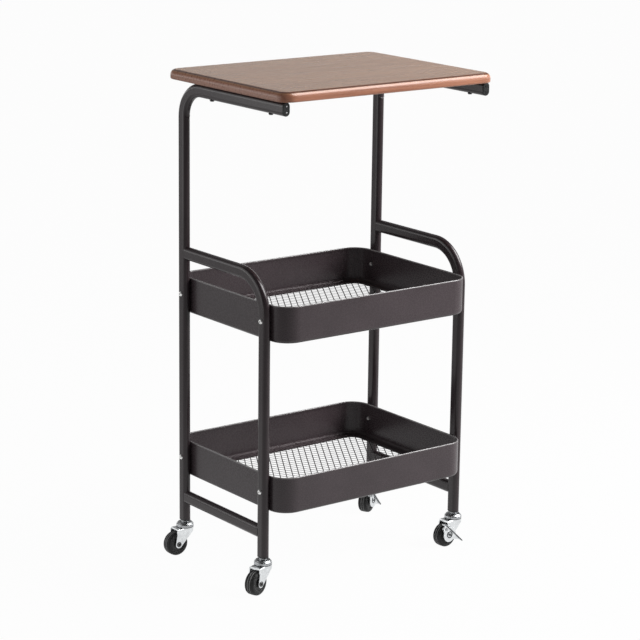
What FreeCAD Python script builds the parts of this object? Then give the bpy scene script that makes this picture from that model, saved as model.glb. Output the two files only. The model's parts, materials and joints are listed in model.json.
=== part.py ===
import FreeCAD, Part
import math
import os
import re

import Sketcher
from FreeCAD import Placement, Rotation, Vector

# Rolling storage cart: a wooden top and two sheet-metal trays on a bent tube frame with four casters.
# Millimetres. The floor is at height 0, the front is toward -Y and the left side toward -X.

SIZES = (
    ("plan_shift_x", 12.0, "middle of the posts, to the right of the origin"),
    ("plan_shift_y", 12.5, "middle of the posts, behind the origin"),
    ("post_inset", 12.0, "post axes inside the ends of the wooden top"),
    ("post_spacing_y", 233.0, "front post axis to rear post axis"),
    ("tube_depth", 22.5, "long way of the oval tube"),
    ("tube_width", 14.0, "short way of the oval tube"),
    ("tube_wall", 1.2, "wall of the oval tube"),
    ("cope_gap", 0.03, "gap between a coped tube end and the post it is welded to"),
    ("cope_setback", 3.0, "from the middle of the post's round to the blunt end of the bar"),
    ("seat_gap", 0.05, "gap round a piece that is seated in another piece"),
    ("foot_level", 59.5, "underside of the foot sockets"),
    ("foot_flange", 3.0, "visible flange of a foot socket"),
    ("foot_spigot", 36.0, "part of a foot socket inside the tube"),
    ("foot_edge_radius", 1.4, "rounded lower edge of a foot socket"),
    ("top_underside", 826.2, "underside of the wooden top"),
    ("top_thickness", 16.2, "thickness of the wooden top"),
    ("top_length", 436.0, "wooden top, left to right"),
    ("top_depth", 336.0, "wooden top, front to back"),
    ("top_front_reach", 181.0, "middle of the posts to the front edge of the top"),
    ("top_corner_radius", 22.0, "corners of the top in plan"),
    ("top_edge_radius", 9.0, "rounded upper edge of the top"),
    ("top_lower_radius", 2.5, "rounded lower edge of the top"),
    ("arm_bend_radius", 50.0, "centre line of the bend at the head of an upright"),
    ("arm_reach", 169.0, "middle of the posts to the front end of an arm tube"),
    ("plug_flange", 2.3, "visible flange of an arm plug"),
    ("plug_spigot", 14.0, "part of an arm plug inside the tube"),
    ("plug_pip_radius", 1.3, "two pips on the face of an arm plug"),
    ("plug_pip_height", 0.8, "how far the pips stand out"),
    ("plug_pip_rise", 5.0, "pips above and below the middle of the plug"),
    ("handle_level", 534.5, "centre line of the handle bars"),
    ("handle_bend_radius", 65.0, "centre line of the bend at the head of a front leg"),
    ("rail_level", 103.0, "centre line of the lower side rails"),
    ("upper_tray_level", 428.5, "underside of the upper tray"),
    ("lower_tray_level", 139.5, "underside of the lower tray"),
    ("tray_depth", 312.0, "tray, front to back"),
    ("tray_height", 62.0, "tray, underside to rim"),
    ("tray_wall", 1.2, "tray sheet"),
    ("tray_post_gap", 0.05, "between a tray side and the posts"),
    ("tray_corner_radius", 36.0, "tray corners in plan"),
    ("tray_floor_radius", 4.5, "inside of the bend between floor and wall"),
    ("tray_ledge", 18.0, "floor left round the net"),
    ("tray_opening_radius", 22.0, "corners of the floor opening"),
    ("tray_rim_width", 2.8, "folded rim, across"),
    ("tray_rim_height", 4.0, "folded rim, up and down"),
    ("tray_rim_radius", 1.1, "rounded edges of the rim"),
    ("net_thickness", 1.6, "net in the tray floor"),
    ("net_strand", 2.4, "width of a strand"),
    ("net_cell_x", 23.4, "diamond, left to right"),
    ("net_cell_y", 38.2, "diamond, front to back"),
    ("net_lap", 6.0, "net under the ledge"),
    ("tray_screw_rise", 35.0, "tray screws above the tray underside"),
    ("tray_screw_radius", 1.75, "tray screw shank"),
    ("tray_head_radius", 4.2, "tray screw head"),
    ("tray_head_height", 2.6, "tray screw head"),
    ("tray_recess_radius", 1.6, "tray screw socket"),
    ("tray_nut_radius", 3.5, "tray nut over its corners"),
    ("tray_nut_height", 2.8, "tray nut"),
    ("screw_hole_gap", 0.2, "round a screw in a hole of sheet or tube"),
    ("table_screw_rear", 34.0, "middle of the posts back to the rear table screws"),
    ("table_screw_front", 130.0, "middle of the posts forward to the front table screws"),
    ("table_screw_radius", 2.0, "table screw shank"),
    ("table_screw_bite", 11.0, "table screw inside the wood"),
    ("table_head_radius", 4.0, "table screw head"),
    ("table_head_height", 2.4, "table screw head"),
    ("wheel_radius", 20.8, "caster wheel"),
    ("wheel_width", 18.4, "caster wheel"),
    ("wheel_edge_radius", 4.0, "rounded edges of the tread"),
    ("wheel_core_radius", 12.0, "tyre on hub"),
    ("hub_boss_radius", 5.5, "boss of the hub beside the fork"),
    ("hub_side_gap", 0.4, "between the hub boss and the fork"),
    ("axle_radius", 3.0, "axle rivet"),
    ("axle_gap", 0.05, "running fit of the hub on the axle"),
    ("axle_head_radius", 4.6, "axle rivet head"),
    ("axle_head_height", 1.2, "axle rivet head"),
    ("axle_recess_radius", 1.7, "hollow end of the axle rivet"),
    ("axle_recess_depth", 4.0, "hollow end of the axle rivet"),
    ("caster_trail", 20.0, "swivel axis back to the axle"),
    ("fork_inside", 19.4, "between the cheeks of a fork"),
    ("fork_sheet", 2.0, "fork sheet"),
    ("fork_back", 22.0, "swivel axis back to the rear edge of the crown"),
    ("fork_front", 9.0, "swivel axis forward to the front edge of the cheeks"),
    ("fork_brow", 5.0, "upright part of that front edge, below the crown"),
    ("fork_eye_radius", 6.6, "round end of the cheeks about the axle"),
    ("fork_bend_radius", 2.4, "outside of the bend between crown and cheek"),
    ("crown_level", 45.8, "underside of the fork crown"),
    ("crown_radius", 15.0, "round plate on the fork crown"),
    ("race_inner", 8.2, "raised ball race on the crown"),
    ("race_outer", 12.4, "raised ball race on the crown"),
    ("race_rise", 1.3, "raised ball race above the crown"),
    ("pin_radius", 4.0, "king pin"),
    ("pin_gap", 0.05, "running fit of the fork on the king pin"),
    ("pin_head_radius", 6.5, "king pin head under the crown"),
    ("pin_head_height", 2.0, "king pin head under the crown"),
    ("pin_head_gap", 0.3, "between king pin head and crown"),
    ("cup_bottom", 48.8, "lower edge of the bearing cup"),
    ("cup_ceiling", 52.7, "ball track inside the bearing cup"),
    ("cup_shoulder", 53.0, "where the bearing cup starts to round off"),
    ("cup_top", 56.5, "top of the bearing cup"),
    ("cup_radius", 15.0, "bearing cup"),
    ("cup_skin", 1.6, "bearing cup skirt"),
    ("ball_radius", 1.6, "bearing ball"),
    ("ball_circle", 10.3, "ring of bearing balls"),
    ("ball_count", 14, "balls in one bearing"),
    ("neck_radius", 6.8, "bright collar above the bearing cup"),
    ("stem_radius", 4.4, "caster stem in its socket"),
    ("stem_rise", 34.0, "caster stem above the foot level"),
    ("lever_gap", 1.6, "between the fork cheek and the brake lever"),
    ("lever_sheet", 1.5, "brake lever sheet"),
    ("lever_pivot_back", 29.0, "swivel axis back to the lever pivot"),
    ("lever_pivot_level", 35.6, "height of the lever pivot"),
    ("lever_pivot_radius", 1.5, "lever pivot rivet"),
    ("lever_pivot_gap", 0.05, "running fit of the lever on its rivet"),
    ("lever_ear_radius", 4.8, "ear of the fork cheek round the pivot"),
    ("lever_disc_radius", 13.2, "round plate of the lever over the axle"),
    ("lever_disc_level", 24.3, "height of the middle of the round plate"),
    ("lever_rib", 3.4, "width of the rib along the lever's upper edge"),
    ("lever_ring_radius", 6.2, "ring pressed into the lever's round plate"),
    ("lever_ring_width", 1.7, "width of the pressed ring"),
    ("lever_boss_radius", 2.5, "boss inside the pressed ring"),
    ("lever_ring_height", 0.8, "height of the pressed ring and boss"),
    ("pedal_reach", 9.5, "swivel axis forward to the end of the pedal"),
    ("pedal_level", 8.0, "height of the pedal end"),
    ("pedal_inside", 4.0, "wheel middle out to the inner side of the pedal"),
    ("front_left_turn", 18.0, "caster angle as photographed"),
    ("front_right_turn", 4.0, "caster angle as photographed"),
    ("rear_left_turn", 1.0, "caster angle as photographed"),
    ("rear_right_turn", 28.0, "caster angle as photographed"),
)

doc = FreeCAD.newDocument("rolling_storage_cart")
sheet = doc.addObject("Spreadsheet::Sheet", "Sizes")
for row, (name, amount, note) in enumerate(SIZES, start=1):
    sheet.set("A%d" % row, name)
    sheet.set("B%d" % row, str(amount))
    sheet.set("C%d" % row, note)
    sheet.setAlias("B%d" % row, name)
doc.recompute()

UP = Vector(0, 0, 1)
TOP_TO_POSTS = "(top_front_reach - top_depth / 2)"
TUBE_START = "(foot_level + foot_flange)"
ARM_LEVEL = "(top_underside - tube_depth / 2)"
FORK_OUTSIDE = "(fork_inside / 2 + fork_sheet)"
HALF_SPACING = "(top_length / 2 - post_inset)"
TRAY_LENGTH = "(top_length - 2 * post_inset - tube_width - 2 * tray_post_gap)"
NODES = []


def cells(text):
    """Turn bare size names into names that any object of the document can read."""
    return re.sub(r"\b[a-z]+_\w+", lambda found: "Sizes." + found.group(0), text)


def size(text):
    """Present value of a size or of a sum of sizes."""
    return float(sheet.evalExpression(cells(text)))


def new_body(label, node=True):
    """Empty body; the ones that are nodes of the cart are written out at the end."""
    piece = doc.addObject("PartDesign::Body", label)
    piece.Label = label
    if node:
        NODES.append(piece)
    return piece


def place(piece, across, along, height, turn="0"):
    """Put a body at three sizes, turned about the vertical."""
    spot = Vector(size(across), size(along), size(height))
    piece.Placement = Placement(spot, Rotation(UP, size(turn)))
    piece.setExpression("Placement.Base.x", cells(across))
    piece.setExpression("Placement.Base.y", cells(along))
    piece.setExpression("Placement.Base.z", cells(height))


def new_sketch(piece, name, role, lift=None, slide=None):
    """Sketch on one of the body's own origin planes, lifted off it or slid along it by a size."""
    sketch = piece.newObject("Sketcher::SketchObject", piece.Label + "_" + name)
    plane = [item for item in piece.Origin.OriginFeatures if item.Role == role][0]
    sketch.AttachmentSupport = [(plane, "")]
    sketch.MapMode = "FlatFace"
    if lift is not None:
        sketch.setExpression("AttachmentOffset.Base.z", cells(lift))
    if slide is not None:
        sketch.setExpression("AttachmentOffset.Base.y", cells(slide))
    return sketch


def drive(sketch, text, kind, *where):
    """Add a measured constraint and bind it to the sheet."""
    number = sketch.addConstraint(Sketcher.Constraint(kind, *where, size(text)))
    sketch.setExpression("Constraints[%d]" % number, cells(text))


def pin(sketch, item, point, across, up):
    """Hold one point of a sketch at two sizes from the sketch origin."""
    if across == "0":
        sketch.addConstraint(Sketcher.Constraint("PointOnObject", item, point, -2))
    else:
        drive(sketch, across, "DistanceX", -1, 1, item, point)
    if up == "0":
        sketch.addConstraint(Sketcher.Constraint("PointOnObject", item, point, -1))
    else:
        drive(sketch, up, "DistanceY", -1, 1, item, point)


def outline(sketch, points):
    """Closed outline with straight sides; every corner is held by two sizes."""
    spots = [Vector(size(across), size(up), 0) for across, up in points]
    first = sketch.GeometryCount
    for number, spot in enumerate(spots):
        sketch.addGeometry(Part.LineSegment(spot, spots[(number + 1) % len(spots)]))
    for number in range(len(spots)):
        following = first + (number + 1) % len(spots)
        sketch.addConstraint(Sketcher.Constraint("Coincident", first + number, 2, following, 1))
    for number, (across, up) in enumerate(points):
        pin(sketch, first + number, 1, across, up)


def circle(sketch, across, up, radius):
    """Circle held by its middle and radius."""
    spot = Vector(size(across), size(up), 0)
    number = sketch.addGeometry(Part.Circle(spot, UP, size(radius)))
    pin(sketch, number, 3, across, up)
    drive(sketch, radius, "Radius", number)


def arc(sketch, middle, radius, start, end):
    """Arc from a start angle to an end angle in degrees."""
    ring = Part.Circle(middle, UP, radius)
    return sketch.addGeometry(Part.ArcOfCircle(ring, math.radians(start), math.radians(end)))


def line(sketch, start, end):
    return sketch.addGeometry(Part.LineSegment(start, end))


def smooth_chain(sketch, items):
    """Join sketch items end to start so that they run smoothly into each other."""
    for one, two in items:
        sketch.addConstraint(Sketcher.Constraint("Tangent", one, 2, two, 1))


def oval(sketch, long_way, short_way):
    """Oval with round ends about the sketch origin, its long way up the sketch."""
    radius = size(short_way) / 2
    half = (size(long_way) - size(short_way)) / 2
    head = arc(sketch, Vector(0, half, 0), radius, 0, 180)
    left = line(sketch, Vector(-radius, half, 0), Vector(-radius, -half, 0))
    foot = arc(sketch, Vector(0, -half, 0), radius, 180, 360)
    right = line(sketch, Vector(radius, -half, 0), Vector(radius, half, 0))
    smooth_chain(sketch, ((head, left), (left, foot), (foot, right), (right, head)))
    sketch.addConstraint(Sketcher.Constraint("Equal", head, foot))
    sketch.addConstraint(Sketcher.Constraint("PointOnObject", head, 3, -2))
    sketch.addConstraint(Sketcher.Constraint("Symmetric", head, 3, foot, 3, -1, 1))
    drive(sketch, "(%s) / 2" % short_way, "Radius", head)
    drive(sketch, "(%s) - (%s)" % (long_way, short_way), "DistanceY", foot, 3, head, 3)


def rounded_rectangle(sketch, wide, deep, corner):
    """Rectangle with round corners about the sketch origin."""
    radius = size(corner)
    x = size(wide) / 2 - radius
    y = size(deep) / 2 - radius
    middles = (Vector(x, y, 0), Vector(-x, y, 0), Vector(-x, -y, 0), Vector(x, -y, 0))
    bends = []
    for number, middle in enumerate(middles):
        bends.append(arc(sketch, middle, radius, 90 * number, 90 * number + 90))
    sides = []
    for number, middle in enumerate(middles):
        angle = math.radians(90 * number + 90)
        out = Vector(math.cos(angle), math.sin(angle), 0) * radius
        sides.append(line(sketch, middle + out, middles[(number + 1) % 4] + out))
    for number in range(4):
        smooth_chain(sketch, ((bends[number], sides[number]), (sides[number], bends[(number + 1) % 4])))
    for number, way in enumerate(("Horizontal", "Vertical", "Horizontal", "Vertical")):
        sketch.addConstraint(Sketcher.Constraint(way, sides[number]))
    for bend in bends[1:]:
        sketch.addConstraint(Sketcher.Constraint("Equal", bends[0], bend))
    sketch.addConstraint(Sketcher.Constraint("Symmetric", bends[0], 3, bends[2], 3, -1, 1))
    drive(sketch, corner, "Radius", bends[0])
    drive(sketch, "(%s) - 2 * (%s)" % (wide, corner), "DistanceX", bends[1], 3, bends[0], 3)
    drive(sketch, "(%s) - 2 * (%s)" % (deep, corner), "DistanceY", bends[3], 3, bends[0], 3)


def pad(piece, name, sketch, length, both_ways=False):
    feature = piece.newObject("PartDesign::Pad", piece.Label + "_" + name)
    feature.Profile = sketch
    feature.setExpression("Length", cells(length))
    if both_ways:
        feature.SideType = "Symmetric"
    return feature


def pocket(piece, name, sketch, length=None, both_ways=True):
    """Cut a sketch out of a body, right through it when no length is given."""
    feature = piece.newObject("PartDesign::Pocket", piece.Label + "_" + name)
    feature.Profile = sketch
    if both_ways:
        feature.SideType = "Symmetric"
    if length is None:
        feature.Type = "ThroughAll"
    else:
        feature.setExpression("Length", cells(length))
    return feature


def revolve(piece, name, sketch):
    """Turn a sketch about its own upright axis."""
    feature = piece.newObject("PartDesign::Revolution", piece.Label + "_" + name)
    feature.Profile = sketch
    feature.ReferenceAxis = (sketch, ["V_Axis"])
    feature.Angle = 360
    return feature


def round_edges(piece, name, radius, wanted):
    """Round the edges of the newest feature that pass a test."""
    doc.recompute()
    base = piece.Tip
    edges = ["Edge%d" % number for number, edge in enumerate(base.Shape.Edges, start=1) if wanted(edge)]
    feature = piece.newObject("PartDesign::Fillet", piece.Label + "_" + name)
    feature.Base = (base, edges)
    feature.setExpression("Radius", cells(radius))
    return feature


def flat_at(height):
    """Test for edges that lie at one height of the body's own frame."""
    level = size(height)
    return lambda edge: abs(edge.BoundBox.ZMin - level) < 1e-4 and abs(edge.BoundBox.ZMax - level) < 1e-4


def turned_body(label, points, node=True):
    """Body turned about its own Z axis from (radius, height) corners."""
    piece = new_body(label, node)
    section = new_sketch(piece, "section", "XZ_Plane")
    outline(section, points)
    revolve(piece, "turned", section)
    return piece


def bent_tube(piece, top_level, bend, reach, forward):
    """Hollow oval tube that rises from the foot, bends and runs level, forward or backward."""
    section = new_sketch(piece, "section", "XY_Plane", lift=TUBE_START)
    oval(section, "tube_depth", "tube_width")
    oval(section, "tube_depth - 2 * tube_wall", "tube_width - 2 * tube_wall")
    route = new_sketch(piece, "route", "YZ_Plane")
    way = -1 if forward else 1
    radius = size(bend)
    level = size(top_level)
    start = Vector(0, size(TUBE_START), 0)
    knee = Vector(0, level - radius, 0)
    middle = Vector(way * radius, level - radius, 0)
    crest = Vector(way * radius, level, 0)
    end = Vector(way * size(reach), level, 0)
    upright = line(route, start, knee)
    angles = (0, 90) if forward else (90, 180)
    turn = arc(route, middle, radius, *angles)
    run = line(route, crest, end)
    near, far = (1, 2) if forward else (2, 1)
    route.addConstraint(Sketcher.Constraint("Tangent", upright, 2, turn, near))
    route.addConstraint(Sketcher.Constraint("Tangent", turn, far, run, 1))
    route.addConstraint(Sketcher.Constraint("PointOnObject", upright, 2, -2))
    route.addConstraint(Sketcher.Constraint("Horizontal", run))
    pin(route, upright, 1, "0", TUBE_START)
    drive(route, bend, "Radius", turn)
    sign = "-1 * " if forward else ""
    drive(route, sign + "(%s)" % reach, "DistanceX", -1, 1, run, 2)
    drive(route, top_level, "DistanceY", -1, 1, run, 2)
    pipe = piece.newObject("PartDesign::AdditivePipe", piece.Label + "_tube")
    pipe.Profile = section
    pipe.Spine = (route, ["Edge1", "Edge2", "Edge3"])
    return pipe


def drill_posts(piece):
    """Holes for the tray screws, right through a post from side to side."""
    holes = new_sketch(piece, "tray_holes", "YZ_Plane")
    for tray in ("upper_tray_level", "lower_tray_level"):
        circle(holes, "0", tray + " + tray_screw_rise", "tray_screw_radius + screw_hole_gap")
    pocket(piece, "tray_holes_cut", holes)


def post_spot(front, left):
    """Plan position of a post as two expressions."""
    across = "plan_shift_x %s %s" % ("-" if left else "+", HALF_SPACING)
    along = "plan_shift_y %s post_spacing_y / 2" % ("-" if front else "+")
    return across, along


# Frame: uprights with arms, front legs with handle bars, lower rails, arm plugs.
for side, left in (("left", True), ("right", False)):
    upright = new_body(side + "_upright")
    bent_tube(upright, ARM_LEVEL, "arm_bend_radius", "arm_reach + post_spacing_y / 2", forward=True)
    drill_posts(upright)
    arm_holes = new_sketch(upright, "arm_holes", "XY_Plane")
    for along in ("table_screw_rear", "-1 * table_screw_front"):
        circle(arm_holes, "0", along + " - post_spacing_y / 2", "table_screw_radius + screw_hole_gap")
    pocket(upright, "arm_holes_cut", arm_holes)
    place(upright, *post_spot(False, left), "0")

    leg = new_body(side + "_front_leg")
    bar_length = "post_spacing_y - (tube_depth - tube_width) / 2 - cope_setback"
    bent_tube(leg, "handle_level", "handle_bend_radius", bar_length, forward=False)
    drill_posts(leg)
    cope = new_sketch(leg, "cope", "XY_Plane", slide="post_spacing_y")
    oval(cope, "tube_depth + 2 * cope_gap", "tube_width + 2 * cope_gap")
    pocket(leg, "cope_cut", cope)
    place(leg, *post_spot(True, left), "0")

    rail = new_body(side + "_lower_rail")
    section = new_sketch(rail, "section", "XZ_Plane")
    oval(section, "tube_depth", "tube_width")
    oval(section, "tube_depth - 2 * tube_wall", "tube_width - 2 * tube_wall")
    rail_length = "post_spacing_y - (tube_depth - tube_width) - 2 * cope_setback"
    pad(rail, "tube", section, rail_length, both_ways=True)
    for name, way in (("front", "-1 * "), ("rear", "")):
        cope = new_sketch(rail, name + "_cope", "XY_Plane", slide=way + "post_spacing_y / 2")
        oval(cope, "tube_depth + 2 * cope_gap", "tube_width + 2 * cope_gap")
        pocket(rail, name + "_cope_cut", cope)
    place(rail, post_spot(True, left)[0], "plan_shift_y", "rail_level")

    plug = new_body(side + "_arm_plug")
    face = new_sketch(plug, "face", "XZ_Plane")
    oval(face, "tube_depth", "tube_width")
    pad(plug, "flange", face, "plug_flange")
    round_edges(plug, "flange_round", "plug_flange / 2",
                lambda edge: abs(edge.BoundBox.YMax + size("plug_flange")) < 1e-4)
    spigot = new_sketch(plug, "spigot", "XZ_Plane")
    oval(spigot, "tube_depth - 2 * tube_wall - 2 * seat_gap", "tube_width - 2 * tube_wall - 2 * seat_gap")
    pad(plug, "spigot_pad", spigot, "plug_spigot").Reversed = True
    pips = new_sketch(plug, "pips", "XZ_Plane", lift="plug_flange")
    for level in ("plug_pip_rise", "-1 * plug_pip_rise"):
        circle(pips, "0", level, "plug_pip_radius")
    pad(plug, "pips_pad", pips, "plug_pip_height")
    place(plug, post_spot(True, left)[0], "plan_shift_y - arm_reach", ARM_LEVEL)

# Wooden top with pilot holes for the four table screws.
top = new_body("table_top")
board = new_sketch(top, "board", "XY_Plane")
rounded_rectangle(board, "top_length", "top_depth", "top_corner_radius")
pad(top, "board_pad", board, "top_thickness")
round_edges(top, "upper_round", "top_edge_radius", flat_at("top_thickness"))
round_edges(top, "lower_round", "top_lower_radius", flat_at("0"))
pilots = new_sketch(top, "pilots", "XY_Plane")
for across in ("-1 * " + HALF_SPACING, HALF_SPACING):
    for along in ("table_screw_rear", "-1 * table_screw_front"):
        circle(pilots, across, along + " + " + TOP_TO_POSTS, "table_screw_radius + seat_gap")
pocket(top, "pilots_cut", pilots, "2 * (table_screw_bite + 1)")
place(top, "plan_shift_x", "plan_shift_y - " + TOP_TO_POSTS, "top_underside")

# Trays: folded sheet with a rim, a floor opening and holes for the screws.
for tray_name, level in (("upper_tray", "upper_tray_level"), ("lower_tray", "lower_tray_level")):
    tray = new_body(tray_name)
    block = new_sketch(tray, "block", "XY_Plane")
    rounded_rectangle(block, TRAY_LENGTH, "tray_depth", "tray_corner_radius")
    pad(tray, "block_pad", block, "tray_height")
    inside = new_sketch(tray, "inside", "XY_Plane", lift="tray_height")
    rounded_rectangle(inside, TRAY_LENGTH + " - 2 * tray_wall", "tray_depth - 2 * tray_wall",
                      "tray_corner_radius - tray_wall")
    pocket(tray, "inside_cut", inside, "tray_height - tray_wall", both_ways=False)
    round_edges(tray, "inner_round", "tray_floor_radius", flat_at("tray_wall"))
    round_edges(tray, "outer_round", "tray_floor_radius + tray_wall", flat_at("0"))
    rim = new_sketch(tray, "rim", "XY_Plane", lift="tray_height - tray_rim_height")
    rounded_rectangle(rim, TRAY_LENGTH, "tray_depth", "tray_corner_radius")
    rounded_rectangle(rim, TRAY_LENGTH + " - 2 * tray_rim_width", "tray_depth - 2 * tray_rim_width",
                      "tray_corner_radius - tray_rim_width")
    pad(tray, "rim_pad", rim, "tray_rim_height")
    round_edges(tray, "rim_round", "tray_rim_radius", flat_at("tray_height"))
    opening = new_sketch(tray, "opening", "XY_Plane")
    rounded_rectangle(opening, TRAY_LENGTH + " - 2 * (tray_wall + tray_ledge)",
                      "tray_depth - 2 * (tray_wall + tray_ledge)", "tray_opening_radius")
    pocket(tray, "opening_cut", opening, "4 * tray_wall")
    holes = new_sketch(tray, "screw_holes", "YZ_Plane")
    for along in ("-1 * post_spacing_y / 2", "post_spacing_y / 2"):
        circle(holes, along, "tray_screw_rise", "tray_screw_radius + screw_hole_gap")
    pocket(tray, "screw_holes_cut", holes)
    place(tray, "plan_shift_x", "plan_shift_y", level)


def plain_rectangle(wide, deep, corner):
    """Closed wire of a rectangle with round corners, at height 0."""
    block = Part.makeBox(wide, deep, 1, Vector(-wide / 2, -deep / 2, 0))
    upright = [edge for edge in block.Edges if edge.BoundBox.ZLength > 0.5]
    rounded = block.makeFillet(corner, upright)
    floor = [face for face in rounded.Faces if abs(face.BoundBox.ZMax) < 1e-6][0]
    return floor.OuterWire


# Nets: one holed face each, drawn from the sheet's sizes, welded under the ledge of a tray.
opening_x = size(TRAY_LENGTH) - 2 * size("tray_wall + tray_ledge")
opening_y = size("tray_depth") - 2 * size("tray_wall + tray_ledge")
lap = size("net_lap")
border = plain_rectangle(opening_x + 2 * lap, opening_y + 2 * lap, size("tray_opening_radius") + lap)
window = Part.Face(plain_rectangle(opening_x, opening_y, size("tray_opening_radius")))
half_x = size("net_cell_x") / 2
half_y = size("net_cell_y") / 2
shrink = 1 - size("net_strand") / 2 * math.hypot(half_x, half_y) / (half_x * half_y)
columns = int(opening_x / half_x / 2) + 2
rows = int(opening_y / half_y / 2) + 2
diamonds = []
for column in range(-columns, columns + 1):
    for row in range(-rows, rows + 1):
        if (column + row) % 2 == 0:
            middle = Vector(column * half_x, row * half_y, 0)
            tips = (Vector(half_x, 0, 0), Vector(0, half_y, 0), Vector(-half_x, 0, 0), Vector(0, -half_y, 0))
            corners = [middle + tip * shrink for tip in tips]
            diamonds.append(Part.Face(Part.makePolygon(corners + corners[:1])))
gaps = window.common(Part.makeCompound(diamonds)).Faces
smallest_gap = 0.08 * size("net_cell_x * net_cell_y")
gap_wires = [gap.OuterWire for gap in gaps if gap.Area > smallest_gap]
net_face = Part.makeFace([border] + gap_wires, "Part::FaceMakerBullseye")
for tray_name in ("upper_tray", "lower_tray"):
    net = doc.addObject("Part::Feature", tray_name + "_net")
    net.Label = tray_name + "_net"
    net.Shape = net_face.extrude(Vector(0, 0, -size("net_thickness")))
    spot = Vector(size("plan_shift_x"), size("plan_shift_y"), size(tray_name + "_level"))
    net.Placement = Placement(spot, Rotation())
    NODES.append(net)

# Fasteners: one of each kind, then groups of copies.
tray_screw = turned_body("tray_screw", (
    ("0", "-1 * (tube_width + tray_post_gap + tray_wall + tray_nut_height + 1)"),
    ("tray_screw_radius", "-1 * (tube_width + tray_post_gap + tray_wall + tray_nut_height + 1)"),
    ("tray_screw_radius", "0"),
    ("tray_head_radius", "0"),
    ("tray_head_radius", "tray_head_height / 3"),
    ("tray_head_radius * 0.74", "tray_head_height"),
    ("tray_recess_radius", "tray_head_height"),
    ("tray_recess_radius", "tray_head_height / 2"),
    ("0", "tray_head_height / 2"),
), node=False)
tray_nut = new_body("tray_nut", node=False)
hexagon = new_sketch(tray_nut, "hexagon", "XY_Plane")
outline(hexagon, [("tray_nut_radius * cos(%d)" % angle, "tray_nut_radius * sin(%d)" % angle)
                  for angle in range(15, 375, 60)])
circle(hexagon, "0", "0", "tray_screw_radius + seat_gap")
pad(tray_nut, "nut", hexagon, "tray_nut_height")
table_screw = turned_body("table_screw", (
    ("0", "0 - table_head_height"),
    ("table_head_radius * 0.7", "0 - table_head_height"),
    ("table_head_radius", "table_head_height * -0.4"),
    ("table_head_radius", "0"),
    ("table_screw_radius", "0"),
    ("table_screw_radius", "tube_depth + table_screw_bite - table_screw_radius"),
    ("0", "tube_depth + table_screw_bite"),
), node=False)
doc.recompute()


def group(label, shape, spots):
    """One node made of separate copies of a shape."""
    copies = []
    for spot in spots:
        copy = shape.copy()
        copy.Placement = spot.multiply(copy.Placement)
        copies.append(copy)
    feature = doc.addObject("Part::Feature", label)
    feature.Label = label
    feature.Shape = Part.makeCompound(copies)
    NODES.append(feature)


for tray_name in ("upper_tray", "lower_tray"):
    screw_spots = []
    nut_spots = []
    for left in (True, False):
        way = -1 if left else 1
        outward = Rotation(UP, Vector(way, 0, 0))
        for front in (True, False):
            across, along = (size(text) for text in post_spot(front, left))
            height = size(tray_name + "_level + tray_screw_rise")
            outside = Vector(across + way * size("tube_width / 2"), along, height)
            screw_spots.append(Placement(outside, outward))
            wall = size("tube_width / 2 + tray_post_gap + tray_wall")
            inward = Rotation(UP, Vector(-way, 0, 0))
            nut_spots.append(Placement(Vector(across - way * wall, along, height), inward))
    group(tray_name + "_screws", tray_screw.Shape, screw_spots)
    group(tray_name + "_nuts", tray_nut.Shape, nut_spots)

table_spots = []
for left in (True, False):
    across = size(post_spot(True, left)[0])
    for along in ("table_screw_rear", "-1 * table_screw_front"):
        spot = Vector(across, size(along + " + plan_shift_y"), size("top_underside - tube_depth"))
        table_spots.append(Placement(spot, Rotation()))
group("table_screws", table_screw.Shape, table_spots)


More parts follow.
